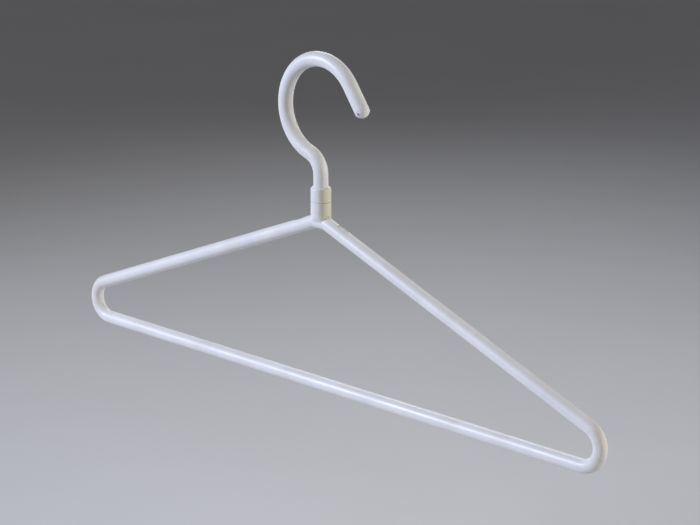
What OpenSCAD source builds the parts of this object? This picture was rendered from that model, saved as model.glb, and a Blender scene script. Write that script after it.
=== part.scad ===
// Clothes hanger of bent hollow tube: a closed shoulder frame with a trouser bar,
// carried by a swan-neck hook that turns freely in the neck.
//
// Frame: X runs along the trouser bar, Z is up, and the front face looks along -Y.
// The origin is the seat: the point inside the crown of the hook that bears on the rail.

/* [Frame tube] */
// Overall width, from the outside of one shoulder bend to the other
overall_w = 420; // [320:5:480]
// Outside diameter of the frame tube
tube_d = 8; // [7:0.1:9]
// Wall thickness of the frame tube
tube_wall = 1.4; // [1.2:0.1:1.6]
// Height of the shoulder point above the trouser bar, between centrelines
shoulder_h = 100.5; // [80:0.5:125]
// Centreline radius of the two shoulder bends
bend_r = 12; // [9:0.5:18]

/* [Hook tube] */
// Outside diameter of the hook tube
hook_d = 8.7; // [8.2:0.1:9.4]
// Wall thickness of the hook tube
hook_wall = 1.5; // [1.3:0.1:1.7]
// Centreline radius of the round crook
crook_r = 28.5; // [24:0.5:34]
// Centreline radius of the reverse bend between the shank and the crook
swan_r = 12.5; // [9:0.5:16]
// Height of the straight shank above the shoulder point
shank_h = 26.5; // [24:0.5:40]
// Angle above the horizontal at which the crook runs out into the straight tip
crook_end = 35; // [10:1:60]
// Length of the straight tube at the tip
tip_l = 16.6; // [10:0.1:25]

/* [Neck] */
// Outside diameter of the two neck rings
ring_d = 12; // [11.6:0.1:13]
// Bottom of the lower ring, above the shoulder point
ring_foot = 0.4; // [0.2:0.1:0.8]
// Top of the lower ring, above the shoulder point
ring_split = 10.6; // [10:0.1:12]
// Width of the two cheeks that run down from the lower ring on to the arms
cheek_w = 8.4; // [6:0.1:9.5]
// Height of the cheeks
cheek_h = 3; // [2:0.1:4]
// Gap between the two rings, where the hook turns
ring_gap = 0.3; // [0.2:0.1:0.8]
// Height of the upper ring
upper_ring_h = 8.5; // [6:0.1:9]
// Distance from the shoulder point along an arm to the middle of its lock key
key_at = 17.5; // [15:0.5:24]

/* [Hidden] */
$fn = 96;

white_plastic = [0.90, 0.90, 0.92];
ring_plastic = [0.86, 0.86, 0.78];
core_plastic = [0.80, 0.80, 0.78];

// Clearances: between pieces fixed together, and between pieces that turn on each other
fixed_gap = 0.03;
turning_gap = 0.1;
saddle_gap = 0.5;
// Extra length of a cutter past the face that it cuts
past = 1;
// Growth of a tube's radius round a bend, and how far the straights run on into it
bend_swell = 0.01;
run_on = 0.1;

// Radii
tube_r = tube_d / 2;
tube_bore_r = tube_r - tube_wall;
hook_r = hook_d / 2;
hook_bore_r = hook_r - hook_wall;
ring_r = ring_d / 2;

// Frame outline: an arm is the tangent from the shoulder point to the shoulder bend
bend_x = overall_w / 2 - tube_r - bend_r;
bend_to_point = norm([bend_x, shoulder_h - bend_r]);
slope = atan2(shoulder_h - bend_r, bend_x) - asin(bend_r / bend_to_point);
arm_l = sqrt(bend_to_point * bend_to_point - bend_r * bend_r);

// Hook outline: a short straight links the reverse bend to the crook, which is centred over the neck
swan_l = 1;
swan_turn = acos(swan_r / norm([crook_r + swan_r, swan_l])) - atan2(swan_l, crook_r + swan_r);
crook_rise = (crook_r + swan_r) * sin(swan_turn) + swan_l * cos(swan_turn);
crook_turn = 180 + swan_turn - crook_end;

// Heights, downwards from the seat
crook_z = hook_r - crook_r;
shank_top_z = crook_z - crook_rise;
point_z = shank_top_z - shank_h;
bar_z = point_z - shoulder_h;

// Yoke: two spigots in the tube ends, a level web under the neck, and a socket for the swivel pin
butt_at = 6;
web_x = 4;
spigot_end = 30;
spigot_r = tube_bore_r - fixed_gap;
socket_r = hook_r;
socket_top = ring_split + 0.1;
shank_foot = socket_top + 0.4;
journal_r = 2.1;
head_r = 2.9;
head_foot = 0.6;
head_h = 2.6;
plug_top = 23;

// Lock keys: round-ended blocks, let into the top of each arm
key_l = 9;
key_w = 3;
key_top = tube_r - 0.45;
key_foot = 1.2;

// Tip plug: a dome a little narrower than the tube
dome_r = hook_r - 0.2;
dome_rim = 0.9;
dome_h = 2.8;
dome_spigot_l = 8;
vent_r = 0.85;

module both_sides() {
    children();
    mirror([1, 0, 0]) children();
}

module both_ends() {
    children();
    mirror([0, 0, 1]) children();
}

// Puts +Z along the right arm, from the shoulder point, with -X on the arm's upper side
module along_arm(distance = 0) {
    translate([0, 0, point_z]) rotate([0, 90 + slope, 0]) translate([0, 0, distance]) children();
}

// A straight stretch of round bar along +Z, run on a little at either end into its neighbours
module straight(length, bar_r, run_in = run_on, run_out = run_on) {
    translate([0, 0, -run_in]) cylinder(r = bar_r, h = length + run_in + run_out);
}

// Carries on from the end of a straight stretch
module after_straight(length) {
    translate([0, 0, length]) children();
}

// A bent stretch of round bar that turns +Z towards +X (side 1) or towards -X (side -1)
module bend(side, radius, turn, bar_r) {
    mirror([side > 0 ? 1 : 0, 0, 0]) translate([-radius, 0, 0]) rotate([90, 0, 0])
        rotate_extrude(angle = turn) translate([radius, 0]) circle(r = bar_r + bend_swell);
}

// Carries on from the end of a bent stretch
module after_bend(side, radius, turn) {
    translate([side * radius, 0, 0]) rotate([0, side * turn, 0]) translate([-side * radius, 0, 0]) children();
}

// A round-ended block along Z, standing out along -X between two depths
module key_block(length, width, depth, top) {
    translate([-top, 0, 0]) rotate([0, 90, 0]) {
        translate([width / 2 - length / 2, 0, 0]) cylinder(r = width / 2, h = top - depth);
        translate([length / 2 - width / 2, 0, 0]) cylinder(r = width / 2, h = top - depth);
        translate([width / 2 - length / 2, -width / 2, 0]) cube([length - width, width, top - depth]);
    }
}

// The frame's outline as round bar: along the trouser bar, round both shoulder bends and up both
// arms, which run on by extra past the cut ends of the tube
module frame_bar(bar_r, extra = 0) {
    translate([0, 0, bar_z]) rotate([0, 90, 0]) {
        after_straight(-bend_x) straight(2 * bend_x, bar_r);
        both_ends() after_straight(bend_x) {
            bend(-1, bend_r, 180 - slope, bar_r);
            after_bend(-1, bend_r, 180 - slope) straight(arm_l - butt_at, bar_r, run_on, extra);
        }
    }
}

module frame_tube() {
    color(white_plastic) difference() {
        frame_bar(tube_r);
        frame_bar(tube_bore_r, past);
        // windows for the lock keys
        both_sides() along_arm(key_at) key_block(key_l, key_w, tube_bore_r - past, tube_r + past);
    }
}

// Level bar across the foot of the neck, which fills the corner under the two arms
module web(bar_r) {
    translate([-web_x, 0, point_z - web_x * tan(slope)]) rotate([0, 90, 0]) cylinder(r = bar_r, h = 2 * web_x);
}

// The whole yoke, before it is split into its front and back halves
module yoke() {
    head_top = head_foot + head_h;
    difference() {
        union() {
            // stubs of the arms, mitred together at the middle
            both_sides() intersection() {
                along_arm(-tube_d) cylinder(r = tube_r, h = tube_d + butt_at);
                translate([0, -tube_d, point_z - 2 * tube_d]) cube([4 * tube_d, 2 * tube_d, 4 * tube_d]);
            }
            web(tube_r);
            both_sides() along_arm() cylinder(r = spigot_r, h = spigot_end);
            translate([0, 0, point_z]) cylinder(r = socket_r, h = socket_top);
        }
        // chamber for the pin's head, and the bore for its journal
        translate([0, 0, point_z + head_foot - turning_gap])
            cylinder(r = head_r + turning_gap, h = head_h + 2 * turning_gap);
        translate([0, 0, point_z + head_top]) cylinder(r = journal_r + turning_gap, h = socket_top);
        both_sides() along_arm(key_at) key_block(key_l, key_w, key_foot, tube_r);
    }
}

module yoke_half(side) {
    reach = spigot_end + tube_d;
    color(core_plastic) intersection() {
        yoke();
        translate([-reach, side < 0 ? -tube_d : 0, point_z - reach]) cube([2 * reach, tube_d, 2 * reach]);
    }
}

// A ring with rounded outer edges, standing on the XY plane
module ring(inner_r, outer_r, height, foot_round, top_round) {
    rotate_extrude() difference() {
        union() {
            square([outer_r - foot_round, height - top_round]);
            translate([0, foot_round]) square([outer_r, height - foot_round - top_round]);
            translate([0, top_round]) square([outer_r - top_round, height - top_round]);
            translate([outer_r - foot_round, foot_round]) circle(r = foot_round);
            translate([outer_r - top_round, height - top_round]) circle(r = top_round);
        }
        translate([0, -past]) square([inner_r, height + 2 * past]);
    }
}

// Lower ring: saddle notches clear the tops of the arms, and a cheek in front and behind runs down on
// to their sides
module neck_ring() {
    color(ring_plastic) difference() {
        union() {
            difference() {
                translate([0, 0, point_z + ring_foot])
                    ring(socket_r + fixed_gap, ring_r, ring_split - ring_foot, 0.8, 0.4);
                both_sides() along_arm(-past) cylinder(r = tube_r + saddle_gap, h = ring_d);
            }
            translate([0, 0, point_z + ring_foot - cheek_h]) intersection() {
                cylinder(r1 = tube_r + 0.3, r2 = ring_r, h = cheek_h + 0.5);
                translate([-cheek_w / 2, -ring_r, 0]) cube([cheek_w, 2 * ring_r, cheek_h + 0.5]);
            }
        }
        translate([0, 0, point_z]) cylinder(r = socket_r + fixed_gap, h = ring_split);
        both_sides() along_arm(-past) cylinder(r = tube_r + fixed_gap, h = ring_d);
        web(tube_r + fixed_gap);
    }
}

module hook_ring() {
    color(ring_plastic)
        translate([0, 0, point_z + ring_split + ring_gap])
            ring(hook_r + fixed_gap, ring_r, upper_ring_h, 0.4, 1.2);
}

// A round-ended key in the window of the right arm
module right_key() {
    along_arm(key_at) key_block(key_l - 2 * fixed_gap, key_w - 2 * fixed_gap, key_foot + fixed_gap, key_top);
}

module lock_key_right() {
    color(core_plastic) right_key();
}

module lock_key_left() {
    color(core_plastic) mirror([1, 0, 0]) right_key();
}

// The hook's outline as round bar: up the shank, back through the reverse bend, over the crook and
// down the tip, run on by extra past both cut ends of the tube
module hook_bar(bar_r, extra = 0) {
    translate([0, 0, point_z + shank_foot]) straight(shank_h - shank_foot, bar_r, extra, run_on);
    translate([0, 0, shank_top_z]) {
        bend(-1, swan_r, swan_turn, bar_r);
        after_bend(-1, swan_r, swan_turn) {
            straight(swan_l, bar_r);
            after_straight(swan_l) bend(1, crook_r, crook_turn, bar_r);
        }
    }
    after_crook() straight(tip_l, bar_r, run_on, extra);
}

module hook_tube() {
    color(white_plastic) difference() {
        hook_bar(hook_r);
        hook_bar(hook_bore_r, past);
    }
}

// Puts +Z along the straight tip of the hook, from the end of the crook
module after_crook() {
    translate([0, 0, shank_top_z]) after_bend(-1, swan_r, swan_turn) after_straight(swan_l)
        after_bend(1, crook_r, crook_turn) children();
}

// Headed pin: the head turns in the yoke's chamber, and the plug is pressed into the shank
module swivel_pin() {
    plug_r = hook_bore_r - fixed_gap;
    color(core_plastic) translate([0, 0, point_z]) rotate_extrude() polygon([
        [0, head_foot],
        [head_r, head_foot],
        [head_r, head_foot + head_h],
        [journal_r, head_foot + head_h],
        [journal_r, shank_foot],
        [plug_r, shank_foot],
        [plug_r, plug_top - 0.5],
        [plug_r - 0.5, plug_top],
        [0, plug_top]
    ]);
}

module hook_tip_plug() {
    sphere_r = (dome_r * dome_r + dome_h * dome_h) / (2 * dome_h);
    color(white_plastic) after_crook() after_straight(tip_l) difference() {
        union() {
            translate([0, 0, -dome_spigot_l]) cylinder(r = hook_bore_r - fixed_gap, h = dome_spigot_l + dome_rim);
            cylinder(r = dome_r, h = dome_rim);
            intersection() {
                translate([0, 0, dome_rim]) cylinder(r = dome_r, h = dome_h + past);
                translate([0, 0, dome_rim + dome_h - sphere_r]) sphere(r = sphere_r);
            }
        }
        // blind vent in the front of the rim
        translate([0, -dome_r - past, dome_rim + 0.2]) rotate([-90, 0, 0]) cylinder(r = vent_r, h = past + 1.8);
    }
}

frame_tube();
yoke_half(-1);  // yoke_front
yoke_half(1);  // yoke_back
neck_ring();
lock_key_left();
lock_key_right();
hook_tube();
hook_ring();
swivel_pin();
hook_tip_plug();
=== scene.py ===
"""Looks of the clothes hanger: swept tubes, moulded neck, plastics, studio light and camera."""

import math

import bmesh
import bpy
from mathutils import Matrix, Vector


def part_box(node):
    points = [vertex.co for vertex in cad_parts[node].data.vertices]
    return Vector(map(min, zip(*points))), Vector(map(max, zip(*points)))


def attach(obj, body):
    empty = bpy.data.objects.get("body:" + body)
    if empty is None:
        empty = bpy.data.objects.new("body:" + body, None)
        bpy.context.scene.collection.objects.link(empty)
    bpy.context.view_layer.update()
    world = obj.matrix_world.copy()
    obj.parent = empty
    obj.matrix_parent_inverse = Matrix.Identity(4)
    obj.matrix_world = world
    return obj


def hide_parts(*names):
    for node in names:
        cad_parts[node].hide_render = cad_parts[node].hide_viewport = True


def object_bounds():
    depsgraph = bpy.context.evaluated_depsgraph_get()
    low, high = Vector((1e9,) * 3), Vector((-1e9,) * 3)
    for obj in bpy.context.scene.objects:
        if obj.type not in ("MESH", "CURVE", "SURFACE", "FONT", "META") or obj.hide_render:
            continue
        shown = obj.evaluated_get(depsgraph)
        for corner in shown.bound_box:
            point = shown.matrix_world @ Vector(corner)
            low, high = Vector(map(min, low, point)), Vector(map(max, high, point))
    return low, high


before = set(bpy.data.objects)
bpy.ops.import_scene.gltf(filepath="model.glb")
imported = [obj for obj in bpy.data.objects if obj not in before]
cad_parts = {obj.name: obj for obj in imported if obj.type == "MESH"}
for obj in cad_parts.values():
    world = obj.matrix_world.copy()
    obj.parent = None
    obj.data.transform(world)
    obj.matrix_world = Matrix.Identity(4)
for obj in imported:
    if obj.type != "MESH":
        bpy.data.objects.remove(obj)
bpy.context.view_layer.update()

MM = 0.001
LO, HI = 0, 1


def cad(node, corner, axis):
    """One face of a CAD node's box, in millimetres."""
    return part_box(node)[corner]["xyz".index(axis)] / MM


# ---- Dimensions in millimetres, from the CAD nodes' boxes where they show them ----
FIT = 0.03  # clearance between pieces fixed together

# Frame tube, with the heights above the trouser bar and the places along an arm
TUBE_R = 4.0
TUBE_BORE_R = 2.6
SHOULDER_H = 100.5
BEND_R = 12.0
BUTT_AT = 6.0
HALF_W = cad("frame_tube", HI, "x")
BAR_Z = cad("frame_tube", LO, "z") + TUBE_R
POINT_Z = BAR_Z + SHOULDER_H

# Lock keys: their windows, and the faces of a key as distances from the arm's centreline
KEY_AT, KEY_L, KEY_W = 17.5, 9.0, 3.0
KEY_FOOT, KEY_TOP = 1.23, TUBE_R - 0.45
KEY_SLACK = 0.3

# Hook tube
HOOK_R = 4.35
HOOK_BORE_R = 2.85
CROOK_R = 28.5
SWAN_R = 12.5
SWAN_L = 1.0
SHANK_H = 26.5
CROOK_END = math.radians(35)
TIP_L = 16.6
SHANK_FOOT = cad("hook_tube", LO, "z")

# Neck rings
SOCKET_R = HOOK_R + FIT
RING_R = cad("neck_ring", HI, "x")
RING_FOOT = POINT_Z + 0.4
RING_SPLIT = cad("neck_ring", HI, "z")
UPPER_FOOT = cad("hook_ring", LO, "z")
UPPER_TOP = cad("hook_ring", HI, "z")
GROOVE = 0.14  # width of the groove between the rings

# Turns: an arm is the tangent from the shoulder point to the shoulder bend
BEND_X = HALF_W - TUBE_R - BEND_R
TO_POINT = math.hypot(BEND_X, SHOULDER_H - BEND_R)
SLOPE = math.atan2(SHOULDER_H - BEND_R, BEND_X) - math.asin(BEND_R / TO_POINT)
ARM_L = math.sqrt(TO_POINT**2 - BEND_R**2)
CROOK_REACH = CROOK_R + SWAN_R
SWAN_TURN = math.acos(SWAN_R / math.hypot(CROOK_REACH, SWAN_L)) - math.atan2(SWAN_L, CROOK_REACH)
CROOK_TURN = math.pi + SWAN_TURN - CROOK_END


# ---- Shader nodes ----
class Nodes:
    """Short calls for building one material's node tree."""

    def __init__(self, name):
        self.material = bpy.data.materials.new(name)
        self.material.use_nodes = True
        self.tree = self.material.node_tree
        self.tree.nodes.clear()
        self.out = self.add("ShaderNodeOutputMaterial")
        self.bsdf = self.add("ShaderNodeBsdfPrincipled")
        self.link(self.bsdf, "BSDF", self.out, "Surface")
        self.coords = self.add("ShaderNodeTexCoord")

    def add(self, kind, **settings):
        node = self.tree.nodes.new(kind)
        for key, value in settings.items():
            setattr(node, key, value)
        return node

    def link(self, a, a_name, b, b_name):
        self.tree.links.new(a.outputs[a_name], b.inputs[b_name])

    def feed(self, source, node, slot):
        """Sets a colour socket from a plain colour or from a node that gives one."""
        if isinstance(source, tuple):
            node.inputs[slot].default_value = (*source, 1)
        else:
            self.link(source, 2 if source.bl_idname == "ShaderNodeMix" else 0, node, slot)

    def noise(self, scale, detail, roughness=0.5, stretch=None, distortion=0.0, coords="Object"):
        node = self.add("ShaderNodeTexNoise")
        node.inputs["Scale"].default_value = scale
        node.inputs["Detail"].default_value = detail
        node.inputs["Roughness"].default_value = roughness
        node.inputs["Distortion"].default_value = distortion
        if stretch is None:
            self.link(self.coords, coords, node, "Vector")
        else:
            mapping = self.add("ShaderNodeMapping")
            mapping.inputs["Scale"].default_value = stretch
            self.link(self.coords, coords, mapping, "Vector")
            self.link(mapping, "Vector", node, "Vector")
        return node

    def ramp(self, noise, stops):
        """A colour ramp over a noise; each stop is a place with a colour or a grey."""
        node = self.add("ShaderNodeValToRGB")
        elements = node.color_ramp.elements
        while len(elements) < len(stops):
            elements.new(0.5)
        for element, (place, value) in zip(elements, stops):
            element.position = place
            element.color = (*value, 1) if isinstance(value, tuple) else (value, value, value, 1)
        self.link(noise, "Fac", node, "Fac")
        return node

    def mix(self, factor, a, b):
        """Mixes two colours, each of them plain or a node's; the factor is a node."""
        node = self.add("ShaderNodeMix", data_type="RGBA", blend_type="MIX")
        self.feed(factor, node, 0)
        self.feed(a, node, 6)
        self.feed(b, node, 7)
        return node

    def maths(self, operation, *terms):
        """A Math node; each term is a number, or a node with the name of its output."""
        node = self.add("ShaderNodeMath", operation=operation)
        for slot, term in enumerate(terms):
            if isinstance(term, tuple):
                self.link(*term, node, slot)
            else:
                node.inputs[slot].default_value = term
        return node

    def ease(self, source, output, low, high):
        """0 below low and 1 above high, with a smooth rise between them."""
        node = self.add("ShaderNodeMapRange", interpolation_type="SMOOTHSTEP")
        node.inputs["From Min"].default_value = low
        node.inputs["From Max"].default_value = high
        self.link(source, output, node, "Value")
        return node

    def position(self):
        node = self.add("ShaderNodeSeparateXYZ")
        self.link(self.coords, "Object", node, "Vector")
        return node

    def bump(self, height, output, distance, strength, below=None):
        node = self.add("ShaderNodeBump")
        node.inputs["Distance"].default_value = distance
        node.inputs["Strength"].default_value = strength
        self.link(height, output, node, "Height")
        if below is not None:
            self.link(below, "Normal", node, "Normal")
        return node


# ---- Plastics, with lengths in millimetres ----
YELLOW_FROM, YELLOW_TO = 3.6, 5.4  # the ring turns yellow between these distances along +X
YELLOW_WANDER = 2.2  # and its edge wanders by up to this
RUB_REACH, RUB_FULL = 14.0, 2.0  # rubbed places start and are full this far in from the frame's ends
PEEL_DEPTH, SCRATCH_DEPTH = 0.03, 0.012


def toned_plus_x(n, base, plus_x_tone):
    """Mixes a colour over to another one on the neck's +X side, above the lower ring's foot, up to a
    wandering edge.
    """
    place = n.position()
    wander = n.maths("MULTIPLY_ADD", (n.noise(240, 3, 0.6), "Fac"), YELLOW_WANDER * MM, (place, "X"))
    spread = n.ease(wander, "Value", YELLOW_FROM * MM, YELLOW_TO * MM)
    above = n.ease(place, "Z", (RING_FOOT - 0.6) * MM, (RING_FOOT + 1.2) * MM)
    return n.mix(n.maths("MULTIPLY", (spread, "Result"), (above, "Result")), base, plus_x_tone)


def rubbed(n, base, worn):
    """Rubs a colour patchily to another one, round the outsides of the two shoulder bends."""
    side = n.maths("ABSOLUTE", (n.position(), "X"))
    ends = n.ease(side, "Value", (HALF_W - RUB_REACH) * MM, (HALF_W - RUB_FULL) * MM)
    patchy = n.ramp(n.noise(260, 5, 0.7), [(0.40, 0.15), (0.66, 0.9)])
    return n.mix(n.maths("MULTIPLY", (ends, "Result"), (patchy, "Color")), base, worn)


def plastic(
    name, light, dark, grime, roughness=(0.36, 0.54), grime_amount=0.35, swept=False, plus_x_tone=None, worn=None
):
    """Moulded plastic: faint mottling, rubbed-in grime and specks, fine scratches, which run along the
    tube on a swept piece, and a slight orange peel. A colour given for the +X side is mixed in there, and
    one given as worn is what the outsides of the shoulder bends have been rubbed to."""
    n = Nodes(name)
    base = n.ramp(n.noise(38, 4, 0.6), [(0.36, dark), (0.62, light)])
    # if a colour is given for it, the neck's +X side is painted in that darker, yellower tone
    if plus_x_tone:
        base = toned_plus_x(n, base, plus_x_tone)
    if worn:
        base = rubbed(n, base, worn)

    # grime in soft patches, with dark specks inside them
    patches = n.noise(16, 5, 0.62, distortion=0.4)
    patch_mask = n.ramp(patches, [(0.54, 0.0), (0.74, grime_amount)])
    speck_mask = n.ramp(n.noise(620, 2), [(0.66, 0.0), (0.76, 0.55)])
    grimy = n.mix(patch_mask, base, grime)
    gated = n.mix(patch_mask, (0.0, 0.0, 0.0), speck_mask)
    specked = n.mix(gated, grimy, tuple(0.55 * c for c in grime))
    n.feed(specked, n.bsdf, "Base Color")

    # the grime and the scratches are duller than the plastic
    if swept:
        scratches = n.noise(1.0, 2, stretch=(0.05, 5.5, 1), coords="UV")
    else:
        scratches = n.noise(700, 2, stretch=(1, 1, 0.06))
    scratch_mask = n.ramp(scratches, [(0.60, 0.0), (0.70, 1.0)])
    low, high = roughness
    rough = n.ramp(patches, [(0.35, low), (0.72, high)])
    n.feed(n.mix(scratch_mask, rough, (high + 0.12,) * 3), n.bsdf, "Roughness")

    peel = n.bump(n.noise(420, 2), "Fac", PEEL_DEPTH * MM, 0.5)
    scored = n.bump(scratch_mask, "Color", SCRATCH_DEPTH * MM, 0.6, peel)
    n.link(scored, "Normal", n.bsdf, "Normal")
    n.bsdf.inputs["IOR"].default_value = 1.49
    n.bsdf.inputs["Coat Weight"].default_value = 0.06
    n.bsdf.inputs["Coat Roughness"].default_value = 0.3
    return n.material


TUBE_PLASTIC = plastic(
    "white_tube_plastic",
    light=(0.83, 0.83, 0.85),
    dark=(0.77, 0.77, 0.79),
    grime=(0.60, 0.56, 0.50),
    grime_amount=0.4,
    swept=True,
    worn=(0.72, 0.67, 0.63),
)
RING_PLASTIC = plastic(
    "ring_plastic_toned_plus_x",
    light=(0.82, 0.82, 0.84),
    dark=(0.77, 0.77, 0.79),
    grime=(0.52, 0.50, 0.40),
    # a darker, yellower tone painted on the +X side of both rings
    plus_x_tone=(0.66, 0.665, 0.54),
)
CORE_PLASTIC = plastic(
    "plain_core_plastic",
    light=(0.76, 0.76, 0.75),
    dark=(0.70, 0.70, 0.69),
    grime=(0.45, 0.42, 0.36),
    roughness=(0.45, 0.6),
)


# ---- Mesh helpers ----
def new_object(name, mesh, material, body, slot, *nodes):
    """Adds a piece, with the body that it rides on and the CAD nodes that it takes the place of."""
    obj = loose(name, mesh)
    mesh.materials.clear()
    mesh.materials.append(material)
    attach(obj, body)
    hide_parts(*nodes)
    return obj


def loose(name, data):
    """Adds a mesh, a light or a camera to the scene, as it is."""
    obj = bpy.data.objects.new(name, data)
    bpy.context.scene.collection.objects.link(obj)
    return obj


def vert(bm, x, y, z):
    """A new vertex, placed in millimetres."""
    return bm.verts.new((x * MM, y * MM, z * MM))


def finished(name, bm):
    """The mesh of a closed shape, with its faces turned outwards."""
    bmesh.ops.recalc_face_normals(bm, faces=bm.faces)
    mesh = bpy.data.meshes.new(name)
    bm.to_mesh(mesh)
    bm.free()
    return mesh


def smooth(mesh, angle=38):
    mesh.shade_smooth()
    mesh.set_sharp_from_angle(angle=math.radians(angle))


def apply_all(obj):
    """Applies an object's modifiers."""
    bpy.context.view_layer.update()
    depsgraph = bpy.context.evaluated_depsgraph_get()
    mesh = bpy.data.meshes.new_from_object(obj.evaluated_get(depsgraph))
    old = obj.data
    obj.modifiers.clear()
    obj.data = mesh
    mesh.name = old.name


def cut(obj, cutter):
    """Cuts one object out of another, and removes it."""
    mod = obj.modifiers.new("cut", "BOOLEAN")
    mod.operation = "DIFFERENCE"
    mod.solver = "EXACT"
    mod.object = cutter
    apply_all(obj)
    bpy.data.objects.remove(cutter)


def soften(obj, width, angle=55):
    """Rounds the edges that are sharper than an angle, over a width in millimetres."""
    bevel = obj.modifiers.new("soft_edges", "BEVEL")
    bevel.width = width * MM
    bevel.segments = 2
    bevel.limit_method = "ANGLE"
    bevel.angle_limit = math.radians(angle)
    apply_all(obj)


def placed(x_axis, y_axis, z_axis, origin):
    """A matrix from its three axes and its origin in millimetres."""
    rows = Matrix((x_axis, y_axis, z_axis)).transposed().to_4x4()
    rows.translation = origin * MM
    return rows


def frame_at(x, z, heading):
    """A matrix that puts +Z along the heading in the XZ plane, with +Y kept."""
    along = Vector((math.cos(heading), 0, math.sin(heading)))
    across = Vector((0, 1, 0))
    return placed(across.cross(along), across, along, Vector((x, 0, z)))


def on_arm(side, distance, height):
    """A matrix whose +Z stands out of the top of an arm and whose +X runs down it."""
    down = Vector((side * math.cos(SLOPE), 0, -math.sin(SLOPE)))
    out = Vector((side * math.sin(SLOPE), 0, math.cos(SLOPE)))
    return placed(down, out.cross(down), out, Vector((0, 0, POINT_Z)) + down * distance + out * height)


# ---- Swept tubes ----
SECTION_SIDES = 56
SEAM_HALF = 0.075  # half the width of the parting line, as an angle round the tube
SEAM_RISE = 0.09
# The parting line's profile: places across it in half widths, and heights as shares of its rise
SEAM = ((-1.6, 0), (-1.0, 0), (-0.45, 0.8), (0, 1), (0.45, 0.8), (1.0, 0), (1.6, 0))


def line_leg(start, heading, length, step):
    """Points and headings along a straight leg."""
    x, z = start
    dx, dz = math.cos(heading), math.sin(heading)
    count = max(1, math.ceil(length / step))
    return [(x + dx * length * i / count, z + dz * length * i / count, heading) for i in range(1, count + 1)]


def arc_leg(start, heading, radius, turn, step):
    """Points and headings round an arc; the turn is signed, and is to the left where it's positive."""
    x, z = start
    side = 1 if turn > 0 else -1
    cx, cz = x - side * radius * math.sin(heading), z + side * radius * math.cos(heading)
    count = max(2, math.ceil(abs(turn) * radius / step))
    out = []
    for i in range(1, count + 1):
        h = heading + turn * i / count
        out.append((cx + side * radius * math.sin(h), cz - side * radius * math.cos(h), h))
    return out


def walk(start, heading, legs):
    """A path in the XZ plane as (x, z, heading) in millimetres, from straight legs, which have a length
    and a step, and arcs, which have a radius, a turn and a step; a heading is an angle from +X."""
    path = [(*start, heading)]
    for leg in legs:
        x, z, h = path[-1]
        add = line_leg if len(leg) == 2 else arc_leg
        path += add((x, z), h, *leg)
    return path


def section(radius, seam):
    """One turn of the tube's section as (angle, radius); the angle starts at the outward side in the
    hanger's own plane, where the parting line of the mould stands up slightly."""
    even = [(2 * math.pi * i / SECTION_SIDES, radius) for i in range(SECTION_SIDES)]
    if not seam:
        return even
    clear = math.sin(2.2 * SEAM_HALF)
    points = [(a, r) for a, r in even if abs(math.sin(a)) > clear]
    for middle in (0, math.pi):
        for place, rise in SEAM:
            points.append(((middle + place * SEAM_HALF) % (2 * math.pi), radius + SEAM_RISE * rise))
    return sorted(points)


def sweep(name, path, outer_r, bore_r):
    """A hollow tube along a path in the XZ plane, closed at both ends by its wall, with the parting
    line on it and coordinates in millimetres along and round it."""
    bm = bmesh.new()
    uv = bm.loops.layers.uv.new("UVMap")
    along = [0.0]
    for a, b in zip(path, path[1:]):
        along.append(along[-1] + math.dist(a[:2], b[:2]))
    skins = []
    for profile, way in ((section(outer_r, True), 1), (section(bore_r, False)[::2], -1)):
        rings = []
        for x, z, h in path:
            centre = Vector((x, 0, z))
            normal = Vector((-math.sin(h), 0, math.cos(h)))
            points = (centre + normal * r * math.cos(a) + Vector((0, r * math.sin(a), 0)) for a, r in profile)
            rings.append([bm.verts.new(point * MM) for point in points])
        turned = [a for a, _ in profile] + [2 * math.pi]
        for i in range(len(path) - 1):
            for j in range(len(profile)):
                places = ((i, j), (i, j + 1), (i + 1, j + 1), (i + 1, j))[::way]
                face = bm.faces.new([rings[a][b % len(profile)] for a, b in places])
                for loop, (a, b) in zip(face.loops, places):
                    loop[uv].uv = (along[a], turned[b] * outer_r)
        skins.append(rings)
    for end in (0, -1):
        edges = []
        for rings in skins:
            ring = rings[end]
            edges += [bm.edges.get(pair) for pair in zip(ring, ring[1:] + ring[:1])]
        bmesh.ops.bridge_loops(bm, edges=edges)
    return finished(name, bm)


# ---- Turned and round-ended shapes ----
def lathe(name, profile, segments, close):
    """A solid of revolution about +Z from (radius, height) points in millimetres. A closed profile goes
    once round a section clear of the axis, and an open one starts and ends on the axis."""
    bm = bmesh.new()
    turns = [2 * math.pi * i / segments for i in range(segments)]
    rows = []
    for r, z in profile:
        if r < 1e-6:
            rows.append([vert(bm, 0, 0, z)])
        else:
            rows.append([vert(bm, r * math.cos(t), r * math.sin(t), z) for t in turns])
    pairs = list(zip(rows, rows[1:])) + ([(rows[-1], rows[0])] if close else [])
    for a, b in pairs:
        for i in range(segments):
            j = (i + 1) % segments
            corners = []
            for v in (a[i % len(a)], a[j % len(a)], b[j % len(b)], b[i % len(b)]):
                if v not in corners:
                    corners.append(v)
            if len(corners) > 2:
                bm.faces.new(corners)
    return finished(name, bm)


def rounded(corners, steps=6):
    """A closed outline with rounded corners, from (x, z, radius of the corner) points."""
    out = []
    for i, (x, z, r) in enumerate(corners):
        here = Vector((x, z))
        before = (Vector(corners[i - 1][:2]) - here).normalized()
        after = (Vector(corners[(i + 1) % len(corners)][:2]) - here).normalized()
        half = before.angle(after) / 2
        centre = here + (before + after).normalized() * r / math.sin(half)
        start = here + before * r / math.tan(half) - centre
        end = here + after * r / math.tan(half) - centre
        swing = start.angle_signed(end)
        for k in range(steps + 1):
            out.append(tuple(centre + Matrix.Rotation(-swing * k / steps, 2) @ start))
    return out


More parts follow.
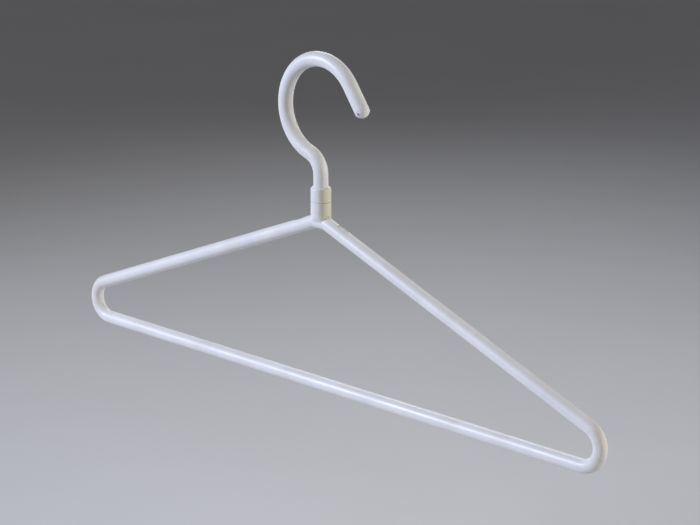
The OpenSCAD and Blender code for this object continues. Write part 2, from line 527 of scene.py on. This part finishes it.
def obround(name, length, width, depth, edge=0.0):
    """A round-ended block standing on the XY plane, long side along X, with its upper edge rounded."""
    end_steps, edge_steps = 14, 4
    outline = []
    for end in (1, -1):
        for i in range(end_steps + 1):
            outline.append((end * (length - width) / 2, -end * math.pi / 2 + math.pi * i / end_steps))
    profile = [(0.0, 0.0), (0.0, depth - edge)]
    if edge:
        for t in (math.pi / 2 * k / edge_steps for k in range(1, edge_steps + 1)):
            profile.append((edge * (1 - math.cos(t)), depth - edge + edge * math.sin(t)))
    bm = bmesh.new()
    rows = []
    for inset, height in profile:
        r = width / 2 - inset
        rows.append([vert(bm, cx + r * math.cos(t), r * math.sin(t), height) for cx, t in outline])
    for a, b in zip(rows, rows[1:]):
        for i in range(len(outline)):
            j = (i + 1) % len(outline)
            bm.faces.new((a[i], a[j], b[j], b[i]))
    bm.faces.new(rows[0][::-1])
    bm.faces.new(rows[-1])
    return finished(name, bm)


# ---- Frame: one bent tube with a window in the top of each arm, and the keys in the windows ----
NEAR_NECK = 24.0  # stretch of each arm with close rings, for clean edges round the window
CLOSE_STEP, FAR_STEP, BEND_STEP = 0.8, 4.0, 0.7

frame_path = walk(
    (-BUTT_AT * math.cos(SLOPE), POINT_Z - BUTT_AT * math.sin(SLOPE)),
    math.pi + SLOPE,
    [
        (NEAR_NECK, CLOSE_STEP),
        (ARM_L - BUTT_AT - NEAR_NECK, FAR_STEP),
        (BEND_R, math.pi - SLOPE, BEND_STEP),
        (2 * BEND_X, FAR_STEP),
        (BEND_R, math.pi - SLOPE, BEND_STEP),
        (ARM_L - BUTT_AT - NEAR_NECK, FAR_STEP),
        (NEAR_NECK, CLOSE_STEP),
    ],
)
mesh = sweep("frame_tube_bent", frame_path, TUBE_R, TUBE_BORE_R)
tube = new_object("frame_tube_bent", mesh, TUBE_PLASTIC, "frame", "tube_plastic", "frame_tube")
for side in (-1, 1):
    window = obround("window_cutter", KEY_L, KEY_W, TUBE_R)
    window.transform(on_arm(side, KEY_AT, TUBE_BORE_R - 1))
    cut(tube, loose("window_cutter", window))
soften(tube, 0.16)
smooth(tube.data)

for side, node in ((-1, "lock_key_left"), (1, "lock_key_right")):
    mesh = obround(node, KEY_L - KEY_SLACK, KEY_W - KEY_SLACK, KEY_TOP - KEY_FOOT, edge=0.3)
    mesh.transform(on_arm(side, KEY_AT, KEY_FOOT))
    smooth(mesh)
    new_object(node + "_moulded", mesh, CORE_PLASTIC, "frame", "core_plastic", node)

# ---- Hook: one bent tube, with a domed plug in its end ----
hook_path = walk(
    (0, SHANK_FOOT),
    math.pi / 2,
    [
        (POINT_Z + SHANK_H - SHANK_FOOT, 1.5),
        (SWAN_R, SWAN_TURN, 0.6),
        (SWAN_L, 0.5),
        (CROOK_R, -CROOK_TURN, 0.9),
        (TIP_L, 1.2),
    ],
)
mesh = sweep("hook_tube_bent", hook_path, HOOK_R, HOOK_BORE_R)
hook = new_object("hook_tube_bent", mesh, TUBE_PLASTIC, "hook", "tube_plastic", "hook_tube")
soften(hook, 0.12)
smooth(hook.data)

DOME_R, DOME_RIM, DOME_H = HOOK_R - 0.08, 0.9, 2.8
PLUG_DEPTH = 8.0
VENT_R, VENT_DEPTH, VENT_RISE = 0.85, 3.4, 0.2

dome_ball = (DOME_R**2 + DOME_H**2) / (2 * DOME_H)
dome_steps = 24
dome = [
    (0, -PLUG_DEPTH),
    (HOOK_BORE_R - 0.4, -PLUG_DEPTH),
    (HOOK_BORE_R - FIT, -PLUG_DEPTH + 0.4),
    (HOOK_BORE_R - FIT, 0.0),
    (DOME_R - 0.12, 0.0),
    (DOME_R, 0.12),
]
for k in range(dome_steps + 1):
    t = math.asin(DOME_R / dome_ball) * (1 - k / dome_steps)
    dome.append((dome_ball * math.sin(t), DOME_RIM + DOME_H - dome_ball + dome_ball * math.cos(t)))
mesh = lathe("hook_tip_dome", dome, 72, close=False)
plug = new_object("hook_tip_dome", mesh, TUBE_PLASTIC, "hook", "tube_plastic", "hook_tip_plug")
vent = lathe("vent_cutter", [(0, 0), (VENT_R, 0), (VENT_R, 5.0), (0, 5.0)], 40, close=False)
vent.transform(
    Matrix.Translation((0, (VENT_DEPTH - DOME_R) * MM, (DOME_RIM + VENT_RISE) * MM))
    @ Matrix.Rotation(math.pi / 2, 4, "X")
)
cut(plug, loose("vent_cutter", vent))
soften(plug, 0.1, 50)
plug.data.transform(frame_at(*hook_path[-1]))
smooth(plug.data)

# ---- Upper ring ----
upper_foot = (RING_SPLIT + UPPER_FOOT + GROOVE) / 2
upper = rounded(
    [
        (SOCKET_R, upper_foot, 0.12),
        (RING_R, upper_foot, 0.3),
        (RING_R, UPPER_TOP, 1.15),
        (SOCKET_R, UPPER_TOP, 0.3),
    ]
)
mesh = lathe("hook_ring_moulded", upper, 128, close=True)
smooth(mesh)
new_object("hook_ring_moulded", mesh, RING_PLASTIC, "hook", "ring_plastic", "hook_ring")

# ---- Lower ring ----
# It has a rounded foot over the arms at either side, and a skin that flows down on to them in front
# and behind. The skin's heights are measured from the shoulder point.
COLUMNS = 240
LOWER_TOP = (RING_SPLIT + UPPER_FOOT - GROOVE) / 2
RIM_ROUND, RIM_BAND = 0.35, 2.5  # rounding of the top, and the plain band below it
FOOT_ROUND = 1.2
EDGE = 0.15  # small bevel at the ends of the ring's bore
SADDLE_GAP = 0.3
WEB_X = 4.0  # half the length of the level web under the neck
WALL_ROUND, WALL_LIFT = 3.0, 2.4  # rounding of the wall's foot, and where the rounding starts
BLEND = 4.0  # size of the fillet between the wall and the arms
SKIN_START = RING_FOOT - POINT_Z + 5.0
SKIN_END = -4.6
SKIN_TURN = -1.0  # height at which the inside of the skin leaves the arms for the bore
SKIN_PROUD, SKIN_HAIR = 0.015, 0.005  # the skin outside the arms, and its inside off them
FRONT_ENDS, FRONT_FADE = 0.62, 0.16  # where the skin gives way to the foot, as the cosine of the angle
SKIN_STEPS = 28
NO_ARM = -1e9  # height given where there is no arm below
OUTSIDE, MARCH, HALVINGS = 8.0, 0.1, 12  # how a surface is searched for, from outside


def bare_core(p):
    """Distance from a point to the two arms and the level web between them."""
    x, y, z = p
    along = max(0.0, abs(x) * math.cos(SLOPE) - z * math.sin(SLOPE))
    arm = math.dist((abs(x), y, z), (along * math.cos(SLOPE), 0, -along * math.sin(SLOPE))) - TUBE_R
    nearest = max(0.0, abs(x) - WEB_X)
    web = math.hypot(nearest, y, z + WEB_X * math.tan(SLOPE)) - TUBE_R
    return min(arm, web)


def blended(p):
    """The same distance with the ring's wall run into it by a soft fillet."""
    x, y, z = p
    out = math.hypot(x, y) - (RING_R - WALL_ROUND)
    down = (RING_FOOT - POINT_Z + WALL_LIFT) - z
    wall = math.hypot(max(out, 0), max(down, 0)) + min(max(out, down), 0) - WALL_ROUND
    core = bare_core(p)
    h = max(0.0, min(1.0, 0.5 + 0.5 * (core - wall) / BLEND))
    return core + (wall - core) * h - BLEND * h * (1 - h) * 0.5


def reach(distance, phi, z):
    """Radius at which a line from outside towards the neck's axis meets a surface, or 0."""
    r = OUTSIDE
    while r > 0 and distance((r * math.cos(phi), r * math.sin(phi), z)) > 0:
        r -= MARCH
    if r <= 0:
        return 0.0
    inner, outer = r, r + MARCH
    for _ in range(HALVINGS):
        middle = (inner + outer) / 2
        if distance((middle * math.cos(phi), middle * math.sin(phi), z)) > 0:
            outer = middle
        else:
            inner = middle
    return outer


def saddle(phi, r):
    """Height of a saddle over the arms, at one point of the ring's footprint."""
    x, y = abs(r * math.cos(phi)), r * math.sin(phi)
    radius = TUBE_R + SADDLE_GAP
    if abs(y) >= radius:
        return NO_ARM
    return POINT_Z - x * math.tan(SLOPE) + math.sqrt(radius**2 - y * y) / math.cos(SLOPE)


def quarter(centre_r, centre_z, radius, up, steps):
    """A quarter round on the ring's outline, between its side and its top or its foot."""
    out = []
    for k in range(steps + 1):
        t = math.pi / 2 * k / steps
        out.append((centre_r + radius * math.cos(t), centre_z + up * radius * math.sin(t)))
    return out


def side_outline(phi):
    """The ring's outline below the rim where it stands over an arm."""
    foot = max(RING_FOOT, saddle(phi, RING_R))
    inside = max(RING_FOOT, saddle(phi, SOCKET_R))
    return [
        (RING_R, LOWER_TOP - RIM_BAND),
        (RING_R, foot + 3.4),
        (RING_R, foot + FOOT_ROUND + 0.3),
        *quarter(RING_R - FOOT_ROUND, foot + FOOT_ROUND, FOOT_ROUND, -1, SKIN_STEPS - 2),
        (SOCKET_R + 0.05, max(inside, foot)),
        (SOCKET_R, inside + EDGE),
        (SOCKET_R, inside + 0.8),
    ]


def front_outline(phi):
    """The outline below the rim in front and behind, where it flows down on to the arms."""
    outline = [(RING_R, LOWER_TOP - RIM_BAND)]
    for k in range(SKIN_STEPS + 1):
        z = SKIN_START + (SKIN_END - SKIN_START) * k / SKIN_STEPS
        outline.append((min(RING_R, reach(blended, phi, z) + SKIN_PROUD), POINT_Z + z))
    low = reach(bare_core, phi, SKIN_END) + SKIN_HAIR
    high = reach(bare_core, phi, SKIN_TURN) + SKIN_HAIR
    return outline + [
        (low, POINT_Z + SKIN_END - 2 * SKIN_HAIR),
        (high, POINT_Z + SKIN_TURN),
        (SOCKET_R, RING_FOOT + 0.8),
    ]


def neck_column(phi):
    """The whole outline at one angle round the neck: the rim, the mixed outline below it, the bore."""
    t = (abs(math.cos(phi)) - FRONT_ENDS) / FRONT_FADE
    t = min(1, max(0, t))
    share = t * t * (3 - 2 * t)
    mixed = [
        (a[0] + (b[0] - a[0]) * share, a[1] + (b[1] - a[1]) * share)
        for a, b in zip(front_outline(phi), side_outline(phi))
    ]
    rim = quarter(RING_R - RIM_ROUND, LOWER_TOP - RIM_ROUND, RIM_ROUND, 1, 5)[::-1]
    bore = [(SOCKET_R, LOWER_TOP - RIM_BAND), (SOCKET_R, LOWER_TOP - EDGE), (SOCKET_R + EDGE, LOWER_TOP)]
    return rim + mixed + bore


bm = bmesh.new()
columns = []
for i in range(COLUMNS):
    phi = 2 * math.pi * i / COLUMNS
    columns.append([vert(bm, r * math.cos(phi), r * math.sin(phi), z) for r, z in neck_column(phi)])
for a, b in zip(columns, columns[1:] + columns[:1]):
    for k in range(len(a)):
        m = (k + 1) % len(a)
        bm.faces.new((a[k], b[k], b[m], a[m]))
mesh = finished("neck_ring_moulded", bm)
smooth(mesh, 50)
new_object("neck_ring_moulded", mesh, RING_PLASTIC, "frame", "ring_plastic", "neck_ring")

# ---- CAD nodes that stay, with their own plastic ----
KEPT = {"yoke_front": TUBE_PLASTIC, "yoke_back": TUBE_PLASTIC, "swivel_pin": CORE_PLASTIC}
for node, material in KEPT.items():
    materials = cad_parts[node].data.materials
    materials.clear()
    materials.append(material)

# ---- Floor, in metres like the light and the camera ----
FLOOR_HALF = 12
FLOOR_DROP = 0.16  # the hanger hangs by its hook, well above the floor

low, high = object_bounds()


def floor_material():
    n = Nodes("pale_floor")
    tone = n.ramp(n.noise(3.0, 4, 0.6), [(0.3, (0.63, 0.63, 0.64)), (0.7, (0.66, 0.66, 0.67))])
    n.feed(tone, n.bsdf, "Base Color")
    n.bsdf.inputs["Roughness"].default_value = 0.85
    return n.material


mesh = bpy.data.meshes.new("studio_floor")
signs = ((-1, -1), (1, -1), (1, 1), (-1, 1))
corners = [(x * FLOOR_HALF, y * FLOOR_HALF, low.z - FLOOR_DROP) for x, y in signs]
mesh.from_pydata(corners, [], [(0, 1, 2, 3)])
mesh.materials.append(floor_material())
floor = loose("studio_floor", mesh)

# ---- Light ----
LIGHT_SPREAD = math.radians(60)
CENTRE = Vector((0, 0, (low.z + high.z) / 2))

world = bpy.data.worlds.new("studio")
bpy.context.scene.world = world
world.use_nodes = True
background = world.node_tree.nodes["Background"]
background.inputs["Color"].default_value = (0.95, 0.95, 1.0, 1)
background.inputs["Strength"].default_value = 0.13


def look_from(name, data, target, azimuth, elevation, distance):
    """Adds a light or camera that looks at a target from a direction in degrees and a distance;
    azimuth 0 is in front of the hanger, and 90 to its right."""
    a, e = math.radians(azimuth), math.radians(elevation)
    back = Vector((math.sin(a) * math.cos(e), -math.cos(a) * math.cos(e), math.sin(e)))
    obj = loose(name, data)
    obj.location = target + back * distance
    obj.rotation_mode = "QUATERNION"
    obj.rotation_quaternion = (-back).to_track_quat("-Z", "Y")
    return obj


def area_light(name, azimuth, elevation, distance, size, power, color):
    light = bpy.data.lights.new(name, "AREA")
    light.shape = "SQUARE"
    light.size = size
    light.energy = power
    light.color = color
    light.spread = LIGHT_SPREAD
    look_from(name, light, CENTRE, azimuth, elevation, distance)


area_light("key_left", -40, 20, 2.4, 0.6, 6.4, (0.80, 0.85, 1.0))
area_light("fill_right", 92, 12, 2.4, 0.8, 2.2, (1.0, 0.94, 0.82))
area_light("rim_right", 140, 16, 2.4, 0.8, 2.8, (1.0, 0.98, 0.92))
area_light("back_left", -140, 28, 2.4, 0.9, 2.2, (0.95, 0.97, 1.0))

# ---- Camera ----
AZIMUTH, ELEVATION = 43.81, 15.69
DISTANCE = 1.223
TARGET = Vector((23.28, 0, BAR_Z + 79.035)) * MM

camera = bpy.data.cameras.new("camera")
camera.sensor_width = 36
camera.lens = 109.26
camera.clip_start, camera.clip_end = 0.01, 60
view = look_from("camera", camera, TARGET, AZIMUTH, ELEVATION, DISTANCE)
bpy.context.scene.camera = view
bpy.context.scene.view_settings.view_transform = "Standard"
